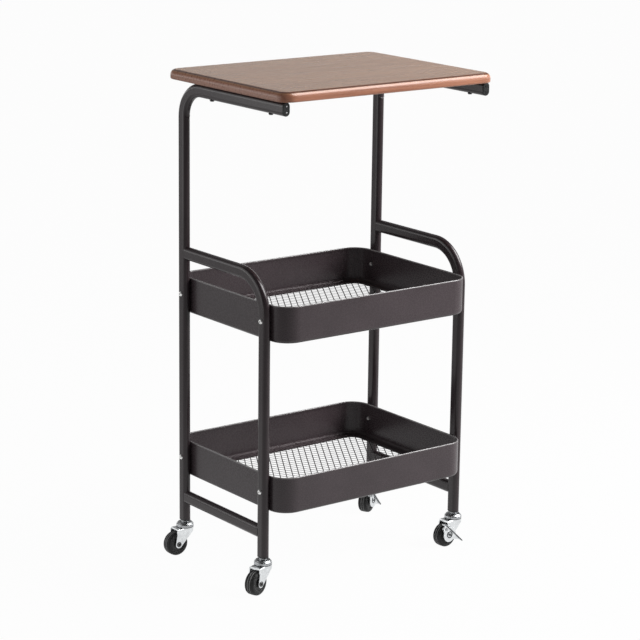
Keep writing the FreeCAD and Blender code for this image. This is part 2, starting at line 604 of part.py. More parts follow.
def fork_body(label, braked):
    """Stamped fork: crown, two cheeks, round plate with a ball race, and an ear when it has a brake."""
    fork = new_body(label)
    cheek = new_sketch(fork, "cheek", "XZ_Plane")
    eye = Vector(-size("caster_trail"), size("wheel_radius"), 0)
    radius = size("fork_eye_radius")
    back = Vector(-size("fork_back"), size("crown_level + fork_sheet"), 0)
    crest = Vector(size("fork_front"), size("crown_level + fork_sheet"), 0)
    brow = Vector(size("fork_front"), size("crown_level - fork_brow"), 0)
    fore = tangent_angle(eye, radius, brow, -1)
    aft = tangent_angle(eye, radius, back, 1)
    fore_spot = eye + Vector(math.cos(fore), math.sin(fore), 0) * radius
    aft_spot = eye + Vector(math.cos(aft), math.sin(aft), 0) * radius
    roof = line(cheek, crest, back)
    rear = line(cheek, back, aft_spot)
    bend = cheek.addGeometry(Part.ArcOfCircle(Part.Circle(eye, UP, radius), aft, fore + 2 * math.pi))
    front = line(cheek, fore_spot, brow)
    step = line(cheek, brow, crest)
    for one, two in ((roof, rear), (front, step), (step, roof)):
        cheek.addConstraint(Sketcher.Constraint("Coincident", one, 2, two, 1))
    smooth_chain(cheek, ((rear, bend), (bend, front)))
    pin(cheek, roof, 1, "fork_front", "crown_level + fork_sheet")
    pin(cheek, rear, 1, "-1 * fork_back", "crown_level + fork_sheet")
    pin(cheek, step, 1, "fork_front", "crown_level - fork_brow")
    pin(cheek, bend, 3, "-1 * caster_trail", "wheel_radius")
    drive(cheek, "fork_eye_radius", "Radius", bend)
    pad(fork, "block", cheek, "fork_inside + 2 * fork_sheet", both_ways=True)
    outer = size(FORK_OUTSIDE)
    on_top = flat_at("crown_level + fork_sheet")
    round_edges(fork, "crown_round", "fork_bend_radius",
                lambda edge: on_top(edge) and abs(abs(edge.CenterOfMass.y) - outer) < 1e-4)
    inside = new_sketch(fork, "inside", "XZ_Plane")
    outline(inside, (("-3 * wheel_radius", "0"), ("3 * wheel_radius", "0"),
                     ("3 * wheel_radius", "crown_level"), ("-3 * wheel_radius", "crown_level")))
    pocket(fork, "inside_cut", inside, "fork_inside")
    plate = new_sketch(fork, "plate", "XZ_Plane")
    outline(plate, (
        ("pin_radius + pin_gap", "crown_level"),
        ("crown_radius", "crown_level"),
        ("crown_radius", "crown_level + fork_sheet"),
        ("race_outer", "crown_level + fork_sheet"),
        ("race_outer - race_rise / 2", "crown_level + fork_sheet + race_rise"),
        ("race_inner + race_rise / 2", "crown_level + fork_sheet + race_rise"),
        ("race_inner", "crown_level + fork_sheet"),
        ("pin_radius + pin_gap", "crown_level + fork_sheet"),
    ))
    revolve(fork, "plate_turned", plate)
    if braked:
        ear = new_sketch(fork, "ear", "XZ_Plane", lift="fork_inside / 2")
        circle(ear, "-1 * lever_pivot_back", "lever_pivot_level", "lever_ear_radius")
        pad(fork, "ear_pad", ear, "fork_sheet")
        web = new_sketch(fork, "web", "XZ_Plane", lift="fork_inside / 2")
        outline(web, (
            ("-1 * lever_pivot_back", "lever_pivot_level - lever_ear_radius"),
            ("-1 * fork_back + 2", "lever_pivot_level - lever_ear_radius"),
            ("-1 * fork_back + 2", "lever_pivot_level + lever_ear_radius"),
            ("-1 * lever_pivot_back", "lever_pivot_level + lever_ear_radius"),
        ))
        pad(fork, "web_pad", web, "fork_sheet")
    bores = new_sketch(fork, "bores", "XZ_Plane")
    circle(bores, "-1 * caster_trail", "wheel_radius", "axle_radius + axle_gap")
    if braked:
        circle(bores, "-1 * lever_pivot_back", "lever_pivot_level", "lever_pivot_radius + lever_pivot_gap")
    pocket(fork, "bores_cut", bores)
    king = new_sketch(fork, "king_bore", "XY_Plane")
    circle(king, "0", "0", "pin_radius + pin_gap")
    pocket(fork, "king_bore_cut", king)
    return fork


def tangent_angle(middle, radius, spot, way):
    """Angle on a circle where a straight line from an outside point touches it."""
    toward = spot - middle
    return math.atan2(toward.y, toward.x) + way * math.acos(radius / toward.Length)


def lever_body(label):
    """Brake lever: a round plate over the axle, a ribbed arm with a pedal, and a shoe above the tread."""
    lever = new_body(label)
    outer_face = FORK_OUTSIDE + " + lever_gap"
    disc = new_sketch(lever, "disc", "XZ_Plane", lift=outer_face)
    circle(disc, "-1 * caster_trail - 1", "lever_disc_level", "lever_disc_radius")
    pad(lever, "disc_pad", disc, "lever_sheet")
    web = new_sketch(lever, "web", "XZ_Plane", lift=outer_face)
    outline(web, (
        ("-1 * lever_pivot_back - 5.5", "lever_pivot_level - 2"),
        ("-1 * caster_trail - 13", "lever_disc_level - 3"),
        ("-1 * caster_trail + 9", "lever_disc_level - 10"),
        ("pedal_reach - 9", "pedal_level + 3.5"),
        ("pedal_reach - 6.5", "pedal_level + 5.5"),
        ("-1 * lever_pivot_back + 0.5", "lever_pivot_level + 7.5"),
        ("-1 * lever_pivot_back - 3", "lever_pivot_level + 7.5"),
    ))
    pad(lever, "web_pad", web, "lever_sheet")
    pressing = new_sketch(lever, "pressing", "XZ_Plane", lift=outer_face + " + lever_sheet")
    for radius in ("lever_ring_radius", "lever_ring_radius - lever_ring_width", "lever_boss_radius"):
        circle(pressing, "-1 * caster_trail - 1", "lever_disc_level", radius)
    pad(lever, "pressing_pad", pressing, "lever_ring_height")
    rib = new_sketch(lever, "rib", "XZ_Plane", lift=outer_face)
    outline(rib, (
        ("-1 * lever_pivot_back + 0.5", "lever_pivot_level + 7.5"),
        ("-1 * lever_pivot_back - 0.5", "lever_pivot_level + 6.3"),
        ("pedal_reach - 1", "pedal_level - 1.2"),
        ("pedal_reach", "pedal_level"),
    ))
    pad(lever, "rib_pad", rib, "lever_rib")
    pedal = new_sketch(lever, "pedal", "XZ_Plane", lift="pedal_inside")
    outline(pedal, (
        ("pedal_reach - 7", "pedal_level + 6"),
        ("pedal_reach - 8", "pedal_level + 4.8"),
        ("pedal_reach - 1", "pedal_level - 1.2"),
        ("pedal_reach", "pedal_level"),
    ))
    pad(lever, "pedal_pad", pedal, FORK_OUTSIDE + " + lever_gap + lever_rib - pedal_inside")
    shoe = new_sketch(lever, "shoe", "XZ_Plane", lift="pedal_inside + 1")
    outline(shoe, (
        ("-1 * lever_pivot_back - 1.5", "lever_pivot_level + 6"),
        ("-1 * lever_pivot_back + 3.4", "lever_pivot_level + 6"),
        ("-1 * lever_pivot_back + 3.4", "lever_pivot_level + 7.5"),
        ("-1 * lever_pivot_back - 1.5", "lever_pivot_level + 7.5"),
    ))
    pad(lever, "shoe_pad", shoe, FORK_OUTSIDE + " + lever_gap + lever_sheet - pedal_inside - 1")
    bore = new_sketch(lever, "bore", "XZ_Plane")
    circle(bore, "-1 * lever_pivot_back", "lever_pivot_level", "lever_pivot_radius + lever_pivot_gap")
    pocket(lever, "bore_cut", bore)
    return lever


def pivot_body(label):
    """Stepped rivet that carries the brake lever; it ends flush with the inside of the fork's ear."""
    reach = ("0 - fork_sheet", "seat_gap", "lever_gap - seat_gap",
             "lever_gap + lever_sheet + 0.1", "lever_gap + lever_sheet + 0.9")
    rivet = new_body(label)
    section = new_sketch(rivet, "section", "XY_Plane")
    outline(section, (
        ("0", reach[0]),
        ("lever_pivot_radius", reach[0]),
        ("lever_pivot_radius", reach[1]),
        ("lever_pivot_radius * 2", reach[1]),
        ("lever_pivot_radius * 2", reach[2]),
        ("lever_pivot_radius", reach[2]),
        ("lever_pivot_radius", reach[3]),
        ("lever_pivot_radius + 1.3", reach[3]),
        ("lever_pivot_radius + 1.3", reach[4]),
        ("0", reach[4]),
    ))
    revolve(rivet, "turned", section)
    return rivet


def about_y(label, points, node=True):
    """Body turned about its own Y axis from (radius, sideways) corners."""
    piece = new_body(label, node)
    section = new_sketch(piece, "section", "XY_Plane")
    outline(section, points)
    revolve(piece, "turned", section)
    return piece


# Casters: socket, stem, bearing, fork, wheel, and a brake on the two right-hand ones.
CASTERS = (("front_left", True, True, False), ("front_right", True, False, True),
           ("rear_left", False, True, False), ("rear_right", False, False, True))
for corner, front, left, braked in CASTERS:
    across, along = post_spot(front, left)
    turn = corner + "_turn"

    socket = new_body(corner + "_socket")
    flange = new_sketch(socket, "flange", "XY_Plane")
    oval(flange, "tube_depth", "tube_width")
    pad(socket, "flange_pad", flange, "foot_flange")
    round_edges(socket, "flange_round", "foot_edge_radius", flat_at("0"))
    spigot = new_sketch(socket, "spigot", "XY_Plane", lift="foot_flange")
    oval(spigot, "tube_depth - 2 * tube_wall - 2 * seat_gap", "tube_width - 2 * tube_wall - 2 * seat_gap")
    pad(socket, "spigot_pad", spigot, "foot_spigot")
    bore = new_sketch(socket, "bore", "XY_Plane")
    circle(bore, "0", "0", "stem_radius + seat_gap")
    pocket(socket, "bore_cut", bore)
    place(socket, across, along, "foot_level")

    stem = turned_body(corner + "_stem", (
        ("0", "crown_level - pin_head_gap - pin_head_height"),
        ("pin_head_radius", "crown_level - pin_head_gap - pin_head_height"),
        ("pin_head_radius", "crown_level - pin_head_gap"),
        ("pin_radius", "crown_level - pin_head_gap"),
        ("pin_radius", "cup_top"),
        ("neck_radius", "cup_top"),
        ("neck_radius", "foot_level"),
        ("stem_radius", "foot_level"),
        ("stem_radius", "foot_level + stem_rise - 1"),
        ("stem_radius - 1", "foot_level + stem_rise"),
        ("0", "foot_level + stem_rise"),
    ))
    place(stem, across, along, "0")

    cup = turned_body(corner + "_bearing_cup", (
        ("pin_radius + seat_gap", "cup_ceiling"),
        ("cup_radius - cup_skin", "cup_ceiling"),
        ("cup_radius - cup_skin", "cup_bottom"),
        ("cup_radius", "cup_bottom"),
        ("cup_radius", "cup_shoulder"),
        ("cup_radius - (cup_top - cup_shoulder) * 0.9", "cup_top"),
        ("pin_radius + seat_gap", "cup_top"),
    ))
    round_edges(cup, "shoulder_round", "(cup_top - cup_shoulder) * 0.6",
                lambda edge: flat_at("cup_shoulder")(edge) or (
                    flat_at("cup_top")(edge) and edge.BoundBox.XLength > 3 * size("pin_radius")))
    place(cup, across, along, "0")

    balls = []
    for number in range(int(size("ball_count"))):
        angle = 2 * math.pi * number / int(size("ball_count"))
        middle = Vector(size(across), size(along), size("cup_ceiling - ball_radius"))
        middle += Vector(math.cos(angle), math.sin(angle), 0) * size("ball_circle")
        balls.append(Part.makeSphere(size("ball_radius"), middle))
    ring = doc.addObject("Part::Feature", corner + "_bearing_balls")
    ring.Label = corner + "_bearing_balls"
    ring.Shape = Part.makeCompound(balls)
    NODES.append(ring)

    fork = fork_body(corner + "_fork", braked)
    place(fork, across, along, "0", turn)

    axle_across = "%s - caster_trail * cos(%s)" % (across, turn)
    axle_along = "%s - caster_trail * sin(%s)" % (along, turn)
    half_axle = FORK_OUTSIDE + " + seat_gap"
    axle_end = FORK_OUTSIDE + " + axle_head_height"
    axle = about_y(corner + "_axle", (
        ("0", "-1 * (%s) + axle_recess_depth" % axle_end),
        ("axle_recess_radius", "-1 * (%s) + axle_recess_depth" % axle_end),
        ("axle_recess_radius", "-1 * (%s)" % axle_end),
        ("axle_head_radius - 0.6", "-1 * (%s)" % axle_end),
        ("axle_head_radius", "-1 * (%s) + 0.6" % axle_end),
        ("axle_head_radius", "-1 * (%s)" % half_axle),
        ("axle_radius", "-1 * (%s)" % half_axle),
        ("axle_radius", half_axle),
        ("axle_head_radius", half_axle),
        ("axle_head_radius", axle_end + " - 0.6"),
        ("axle_head_radius - 0.6", axle_end),
        ("0", axle_end),
    ))
    place(axle, axle_across, axle_along, "wheel_radius", turn)

    tyre = about_y(corner + "_tyre", (
        ("wheel_core_radius", "-1 * wheel_width / 2"),
        ("wheel_radius", "-1 * wheel_width / 2"),
        ("wheel_radius", "wheel_width / 2"),
        ("wheel_core_radius", "wheel_width / 2"),
    ))
    round_edges(tyre, "tread_round", "wheel_edge_radius",
                lambda edge: edge.BoundBox.XLength > 1.9 * size("wheel_radius"))
    place(tyre, axle_across, axle_along, "wheel_radius", turn)

    boss = "fork_inside / 2 - hub_side_gap"
    rim = "wheel_width / 2 - 1.5"
    hub = about_y(corner + "_hub", (
        ("axle_radius + axle_gap", "-1 * (%s)" % boss),
        ("hub_boss_radius", "-1 * (%s)" % boss),
        ("hub_boss_radius", "-1 * (%s)" % rim),
        ("wheel_core_radius - seat_gap", "-1 * (%s)" % rim),
        ("wheel_core_radius - seat_gap", rim),
        ("hub_boss_radius", rim),
        ("hub_boss_radius", boss),
        ("axle_radius + axle_gap", boss),
    ))
    place(hub, axle_across, axle_along, "wheel_radius", turn)

    if braked:
        lever = lever_body(corner + "_brake_lever")
        place(lever, across, along, "0", turn)
        rivet = pivot_body(corner + "_brake_pivot")
        names = {"turn": turn, "out": FORK_OUTSIDE}
        pivot_across = across + " - lever_pivot_back * cos(%(turn)s) + %(out)s * sin(%(turn)s)" % names
        pivot_along = along + " - lever_pivot_back * sin(%(turn)s) - %(out)s * cos(%(turn)s)" % names
        place(rivet, pivot_across, pivot_along, "lever_pivot_level", turn)
        spot = rivet.Placement.Base
        rivet.Placement = Placement(spot, Rotation(UP, size(turn) + 180))

doc.recompute()

problems = []
for item in doc.Objects:
    if "Invalid" in item.State or "Error" in item.State:
        problems.append(item.Label + " is in error")
for node in NODES:
    shape = node.Shape
    if shape.isNull() or not shape.isValid() or not shape.Solids:
        problems.append(node.Label + " has no valid solid")
if problems:
    raise RuntimeError("; ".join(problems))

os.makedirs("parts", exist_ok=True)
for node in NODES:
    node.Shape.exportStep("parts/" + node.Label + ".step")
print("wrote %d nodes" % len(NODES))
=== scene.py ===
import json
import math

import bmesh
import bpy
from mathutils import Matrix, Vector


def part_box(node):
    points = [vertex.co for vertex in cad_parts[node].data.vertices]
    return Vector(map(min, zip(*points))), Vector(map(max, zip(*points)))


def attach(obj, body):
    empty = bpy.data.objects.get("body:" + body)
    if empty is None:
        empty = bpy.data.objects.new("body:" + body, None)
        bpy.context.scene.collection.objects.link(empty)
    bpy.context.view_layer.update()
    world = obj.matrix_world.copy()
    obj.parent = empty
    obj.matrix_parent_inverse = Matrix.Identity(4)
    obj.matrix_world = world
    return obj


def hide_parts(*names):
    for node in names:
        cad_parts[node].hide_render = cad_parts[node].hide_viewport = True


# Looks of the rolling storage cart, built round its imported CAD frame. Metres; front is -Y, left is -X.
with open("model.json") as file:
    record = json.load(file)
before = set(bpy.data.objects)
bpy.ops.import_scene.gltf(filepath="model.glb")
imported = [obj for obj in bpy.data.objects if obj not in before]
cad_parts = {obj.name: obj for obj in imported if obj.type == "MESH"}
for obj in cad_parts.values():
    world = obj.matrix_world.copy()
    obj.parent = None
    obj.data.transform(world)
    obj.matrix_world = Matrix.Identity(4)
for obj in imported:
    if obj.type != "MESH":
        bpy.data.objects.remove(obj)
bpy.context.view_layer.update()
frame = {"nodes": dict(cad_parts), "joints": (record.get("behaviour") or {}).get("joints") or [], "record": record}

MM = 0.001
UP = Vector((0.0, 0.0, 1.0))
WHITE = (1.0, 1.0, 1.0)
TRAYS = ("upper_tray", "lower_tray")

# Camera, as fitted to the photograph's edges.
VIEW_AZIMUTH = math.radians(37.13)
VIEW_ELEVATION = math.radians(14.10)
VIEW_ROLL = math.radians(0.74)
FOCAL_PIXELS = 2284.0
PHOTO_PIXELS = 640.0
SENSOR_MM = 36.0
CLIP_NEAR = 0.05
CLIP_FAR = 100.0
CAMERA_PLACE = Vector((-2.2824, -3.0107, 1.3652))


def make_camera():
    """Camera at the photograph's viewing angle, without shift."""
    back = Vector((
        -math.sin(VIEW_AZIMUTH) * math.cos(VIEW_ELEVATION),
        -math.cos(VIEW_AZIMUTH) * math.cos(VIEW_ELEVATION),
        math.sin(VIEW_ELEVATION),
    ))
    level = Vector((math.cos(VIEW_AZIMUTH), -math.sin(VIEW_AZIMUTH), 0.0))
    upward = back.cross(level)
    across = math.cos(VIEW_ROLL) * level + math.sin(VIEW_ROLL) * upward
    above = math.cos(VIEW_ROLL) * upward - math.sin(VIEW_ROLL) * level
    lens = bpy.data.cameras.new("camera")
    lens.sensor_width = SENSOR_MM
    lens.lens = FOCAL_PIXELS / PHOTO_PIXELS * SENSOR_MM
    lens.clip_start = CLIP_NEAR
    lens.clip_end = CLIP_FAR
    camera = bpy.data.objects.new("camera", lens)
    turn = Matrix((across, above, back)).transposed().to_4x4()
    camera.matrix_world = Matrix.Translation(CAMERA_PLACE) @ turn
    bpy.context.scene.collection.objects.link(camera)
    bpy.context.scene.camera = camera


make_camera()

# Places of the share, the two colours and the result among a Mix node's sockets.
MIX_SHARE = 0
MIX_ONE = 6
MIX_TWO = 7
MIX_RESULT = 2


# Shader helpers.
def feed(tree, socket, value):
    """Link a socket to another socket, or set its value."""
    if isinstance(value, bpy.types.NodeSocket):
        tree.links.new(value, socket)
    else:
        socket.default_value = value


def add(tree, kind, settings=None, **inputs):
    """New shader node with its settings, and its inputs by name."""
    node = tree.nodes.new("ShaderNode" + kind)
    for name, value in (settings or {}).items():
        setattr(node, name, value)
    for name, value in inputs.items():
        feed(tree, node.inputs[name.replace("_", " ")], value)
    return node


def surface(name):
    """New material with a principled shader."""
    material = bpy.data.materials.new(name)
    material.use_nodes = True
    tree = material.node_tree
    tree.nodes.clear()
    shader = add(tree, "BsdfPrincipled")
    add(tree, "OutputMaterial", Surface=shader.outputs["BSDF"])
    return material, tree, shader


def shader_values(shader, **values):
    """Values that are the same all over the surface, on the shader's own sockets."""
    for name, value in values.items():
        shader.inputs[name.replace("_", " ")].default_value = value


def place_on_piece(tree, scale=(1, 1, 1)):
    """Coordinates that stay with the piece, stretched by a scale."""
    coordinates = add(tree, "TexCoord")
    return add(tree, "Mapping", Vector=coordinates.outputs["Object"], Scale=scale).outputs["Vector"]


def coordinate(tree, vector, axis):
    """One coordinate of a point or direction."""
    return add(tree, "SeparateXYZ", Vector=vector).outputs[axis]


def facing_up(tree):
    """How far the surface faces up: 1 on a level top, 0 on an upright side."""
    return coordinate(tree, add(tree, "NewGeometry").outputs["Normal"], "Z")


def toward(tree, place, direction):
    """How far a point or direction lies along another direction."""
    along = add(tree, "VectorMath", {"operation": "DOT_PRODUCT"})
    feed(tree, along.inputs[0], place)
    feed(tree, along.inputs[1], direction)
    return along.outputs["Value"]


def noise(tree, scale=1.0, detail=2.0, rough=0.5, stretch=(1, 1, 1), warp=0.0):
    """Noise with features of about one over the scale, in metres."""
    where = place_on_piece(tree, stretch)
    return add(tree, "TexNoise", Vector=where, Scale=scale, Detail=detail, Roughness=rough,
               Distortion=warp).outputs["Fac"]


def ramp(tree, value, stops):
    """Colour ramp from (position, colour) stops."""
    node = add(tree, "ValToRGB", Fac=value)
    band = node.color_ramp
    while len(band.elements) < len(stops):
        band.elements.new(0.5)
    for element, (position, colour) in zip(band.elements, stops):
        element.position = position
        element.color = opaque(colour)
    return node.outputs["Color"]


def mottled(tree, pattern, colour, darkest, lightest, start=0.25, end=0.7):
    """A colour that a pattern, from start to end, makes darker or lighter by factors."""
    return ramp(tree, pattern, ((start, shade(colour, darkest)), (end, shade(colour, lightest))))


def spread(tree, value, low, high, start=0.25, end=0.75):
    """Number that goes from low to high while a value goes from start to end."""
    node = add(tree, "MapRange", Value=value, From_Min=start, From_Max=end, To_Min=low, To_Max=high)
    return node.outputs["Result"]


def between(tree, share, one, two):
    """Number that goes from one to the other while a share goes from 0 to 1."""
    return spread(tree, share, one, two, 0.0, 1.0)


def mixed(tree, share, one, two, how="MIX"):
    """Mix of two colours."""
    node = add(tree, "Mix", {"data_type": "RGBA", "blend_type": how})
    feed(tree, node.inputs[MIX_SHARE], share)
    feed(tree, node.inputs[MIX_ONE], one)
    feed(tree, node.inputs[MIX_TWO], two)
    return node.outputs[MIX_RESULT]


def combined(tree, operation, one, two):
    """Result of an arithmetic operation on two values."""
    node = add(tree, "Math", {"operation": operation})
    feed(tree, node.inputs[0], one)
    feed(tree, node.inputs[1], two)
    return node.outputs[0]


def bump(tree, height, strength, distance, under=None):
    """Normal of a fine relief, laid over another one if given."""
    node = add(tree, "Bump", Height=height, Strength=strength, Distance=distance)
    if under is not None:
        feed(tree, node.inputs["Normal"], under)
    return node.outputs["Normal"]


def shade(colour, factor):
    """A colour made darker or lighter."""
    return tuple(part * factor for part in colour)


def opaque(colour):
    """A colour with full alpha, as sockets take it."""
    return (*colour, 1.0)


# Wood of the table top.
WOOD_EDGE = (0.270, 0.116, 0.070)
# Dark colour painted along the top arris, standing in for the reflection of the dark overhead.
ARRIS_PAINTED_REFLECTION = (0.100, 0.038, 0.024)
BAND_STOPS = (
    (0.30, (0.265, 0.132, 0.068)),
    (0.52, (0.305, 0.157, 0.082)),
    (0.74, (0.345, 0.184, 0.098)),
)
BAND_SCALE = (2.2, 26.0, 26.0)
LINE_STOPS = ((0.36, (0.80, 0.77, 0.75)), (0.56, WHITE))
LINE_SCALE = (9.0, 260.0, 260.0)
LINE_SHARE = 0.75
PORE_STOPS = ((0.34, (0.60, 0.55, 0.53)), (0.42, WHITE))
PORE_SCALE = (60.0, 1500.0, 1500.0)
PORE_SHARE = 0.5
LACQUER_ROUGH = (0.24, 0.34)
# How far up the surface faces where the edge's colour fades out, and where the dark reflection painted along the
# arris begins and ends.
EDGE_FADE = (0.55, 0.80)
PAINTED_REFLECTION_BEGIN = (0.76, 0.84)
PAINTED_REFLECTION_END = (0.975, 0.992)


def wood():
    """Stained board: grain along its length, fine pores, redder edges, a painted dark reflection along the top
    arris, glossy lacquer.
    """
    material, tree, shader = surface("wood")
    wide_bands = noise(tree, detail=3.0, rough=0.55, stretch=BAND_SCALE, warp=0.6)
    fine_lines = noise(tree, detail=5.0, rough=0.62, stretch=LINE_SCALE, warp=0.2)
    pores = noise(tree, detail=1.0, stretch=PORE_SCALE)
    colour = ramp(tree, wide_bands, BAND_STOPS)
    colour = mixed(tree, LINE_SHARE, colour, ramp(tree, fine_lines, LINE_STOPS), "MULTIPLY")
    colour = mixed(tree, PORE_SHARE, colour, ramp(tree, pores, PORE_STOPS), "MULTIPLY")
    upward = facing_up(tree)
    on_edge = spread(tree, upward, 1.0, 0.0, *EDGE_FADE)
    streaks = mottled(tree, fine_lines, WOOD_EDGE, darkest=0.72, lightest=1.25, start=0.3)
    colour = mixed(tree, on_edge, colour, streaks)
    # Painted dark reflection: the arris, where the rounding faces partly up, gets a dark colour.
    below_top = spread(tree, upward, 1.0, 0.0, *PAINTED_REFLECTION_END)
    painted_reflection_share = spread(tree, upward, 0.0, below_top, *PAINTED_REFLECTION_BEGIN)
    colour = mixed(tree, painted_reflection_share, colour, opaque(ARRIS_PAINTED_REFLECTION))
    feed(tree, shader.inputs["Base Color"], colour)
    feed(tree, shader.inputs["Roughness"], spread(tree, fine_lines, *LACQUER_ROUGH))
    relief = bump(tree, pores, strength=0.12, distance=0.08 * MM)
    relief = bump(tree, fine_lines, strength=0.10, distance=0.10 * MM, under=relief)
    feed(tree, shader.inputs["Normal"], relief)
    shader_values(shader, Specular_IOR_Level=0.5)
    return material


# Powder coat of the frame, the trays and the nets.
FRAME_COAT = (0.0270, 0.0190, 0.0212)
TRAY_COAT = (0.0420, 0.0320, 0.0350)
NET_COAT = (0.0270, 0.0230, 0.0240)
COAT_SMOOTHER = 0.04
COAT_ROUGHER = 0.05
SPECK_SHARE = 0.3
# Paler colour painted on the tray rims as a highlight; the rims are also glossier and smoother.
RIM_PAINTED_HIGHLIGHT = (0.130, 0.120, 0.122)
RIM_GLOSS = 1.0
RIM_ROUGH = 0.22
RIM_DEPTH = 1.6 * MM
RIM_FADE = 0.2 * MM
CORNER_ROUGH = 0.60
CORNER_HEIGHT = 6.0 * MM
CORNER_FADE = 2.0 * MM
CORNER_FACING = (0.05, 0.15)


def powder_coat(name, colour, rough, gloss, tray_levels=None):
    """Satin powder coat with a fine orange-peel surface and faint patches.

    A tray's coat, given its lowest and highest level, is dull in the corners of its floor, and glossier on its
    rim, where a paler colour is painted on as a highlight.
    """
    material, tree, shader = surface(name)
    patches = noise(tree, scale=14.0, detail=3.0, rough=0.6)
    grains = noise(tree, scale=1800.0, detail=1.0)
    peel = noise(tree, scale=420.0)
    tone = mottled(tree, patches, colour, darkest=0.86, lightest=1.14, end=0.75)
    specks = mottled(tree, grains, WHITE, darkest=0.80, lightest=1.15, start=0.35, end=0.65)
    tone = mixed(tree, SPECK_SHARE, tone, specks, "MULTIPLY")
    roughness = spread(tree, peel, rough - COAT_SMOOTHER, rough + COAT_ROUGHER)
    shader_values(shader, Specular_IOR_Level=gloss)
    if tray_levels is not None:
        floor, rim = tray_levels
        height = coordinate(tree, place_on_piece(tree), "Z")
        corner_top = floor + CORNER_HEIGHT
        low_down = spread(tree, height, 1.0, 0.0, corner_top, corner_top + CORNER_FADE)
        in_corner = spread(tree, facing_up(tree), 0.0, low_down, *CORNER_FACING)
        on_rim = spread(tree, height, 0.0, 1.0, rim - RIM_DEPTH - RIM_FADE, rim - RIM_DEPTH)
        # Painted highlight: a paler colour along the rim.
        tone = mixed(tree, on_rim, tone, opaque(RIM_PAINTED_HIGHLIGHT))
        roughness = between(tree, in_corner, roughness, CORNER_ROUGH)
        roughness = between(tree, on_rim, roughness, RIM_ROUGH)
        feed(tree, shader.inputs["Specular IOR Level"], between(tree, on_rim, gloss, RIM_GLOSS))
    feed(tree, shader.inputs["Base Color"], tone)
    feed(tree, shader.inputs["Roughness"], roughness)
    relief = bump(tree, peel, strength=0.05, distance=0.10 * MM)
    relief = bump(tree, grains, strength=0.04, distance=0.05 * MM, under=relief)
    feed(tree, shader.inputs["Normal"], relief)
    return material


# Moulded plastic of sockets, hubs and end plugs.
BLACK_PLASTIC = (0.010, 0.010, 0.010)
HUB_PLASTIC = (0.016, 0.016, 0.016)
PLASTIC_ROUGH_VARIES = 0.08
PIP_METAL = (0.80, 0.80, 0.80)
PIP_DEPTH = 0.72 * MM
PIP_FADE = 0.02 * MM


def moulded_plastic(name, colour, rough, pips=None):
    """Moulded plastic with a fine spark-eroded grain; in front of the depth pips it is bright metal."""
    material, tree, shader = surface(name)
    grain = noise(tree, scale=1500.0, rough=0.6)
    patches = noise(tree, scale=60.0)
    tone = mottled(tree, patches, colour, darkest=0.8, lightest=1.25, start=0.3)
    if pips is not None:
        depth = coordinate(tree, place_on_piece(tree), "Y")
        bright = spread(tree, depth, 1.0, 0.0, pips - PIP_FADE, pips + PIP_FADE)
        tone = mixed(tree, bright, tone, opaque(PIP_METAL))
        feed(tree, shader.inputs["Metallic"], bright)
    feed(tree, shader.inputs["Base Color"], tone)
    roughness = spread(tree, grain, rough - PLASTIC_ROUGH_VARIES, rough + PLASTIC_ROUGH_VARIES)
    feed(tree, shader.inputs["Roughness"], roughness)
    feed(tree, shader.inputs["Normal"], bump(tree, grain, strength=0.15, distance=0.06 * MM))
    return material


# Steel of screws, bearings, axles, forks and levers.
SCREW_STEEL = (0.90, 0.90, 0.89)
BLACK_SCREW = (0.020, 0.019, 0.019)
BEARING_STEEL = (0.45, 0.46, 0.47)
AXLE_STEEL = (0.10, 0.10, 0.10)
FORK_ZINC = (0.80, 0.82, 0.83)
LEVER_STEEL = (0.80, 0.82, 0.83)
# Dark colour painted as shade on the levers' rib, pedal and ring.
LEVER_PAINTED_SHADE = (0.090, 0.094, 0.098)
LEVER_ROUGH = 0.30
BLACK_SCREW_ROUGH = (0.34, 0.50)
METAL_SMOOTHER = 0.06
METAL_ROUGHER = 0.10
LEVER_FACE = 3.25 * MM
LEVER_FADE = 0.05 * MM
SPANGLE_SCALE = 420.0
SPANGLE_SHARE = 0.7
SCRATCH_SCALE = (260.0, 260.0, 3200.0)


def clouds(tree):
    """Soft patches of dirt on metal."""
    return noise(tree, scale=130.0, detail=3.0, rough=0.6)


def scratched(tree, shader, tone, rough):
    """Metal of a tone, with fine scratches."""
    scratches = noise(tree, rough=0.6, stretch=SCRATCH_SCALE)
    roughness = spread(tree, scratches, rough - METAL_SMOOTHER, rough + METAL_ROUGHER)
    feed(tree, shader.inputs["Base Color"], tone)
    feed(tree, shader.inputs["Roughness"], roughness)
    feed(tree, shader.inputs["Normal"], bump(tree, scratches, strength=0.08, distance=0.04 * MM))
    shader_values(shader, Metallic=1.0)


def bare_metal(name, colour, rough, spangle=False):
    """Plain or plated steel: fine scratches and a little dirt in the tone, on zinc also a soft spangle."""
    material, tree, shader = surface(name)
    tone = mottled(tree, clouds(tree), colour, darkest=0.84, lightest=1.08)
    if spangle:
        flakes = add(tree, "TexVoronoi", Vector=place_on_piece(tree), Scale=SPANGLE_SCALE).outputs["Color"]
        flake_tone = add(tree, "SeparateColor", Color=flakes).outputs["Red"]
        spots = mottled(tree, flake_tone, WHITE, darkest=0.90, lightest=1.05, start=0.0, end=1.0)
        tone = mixed(tree, SPANGLE_SHARE, tone, spots, "MULTIPLY")
    scratched(tree, shader, tone, rough)
    return material


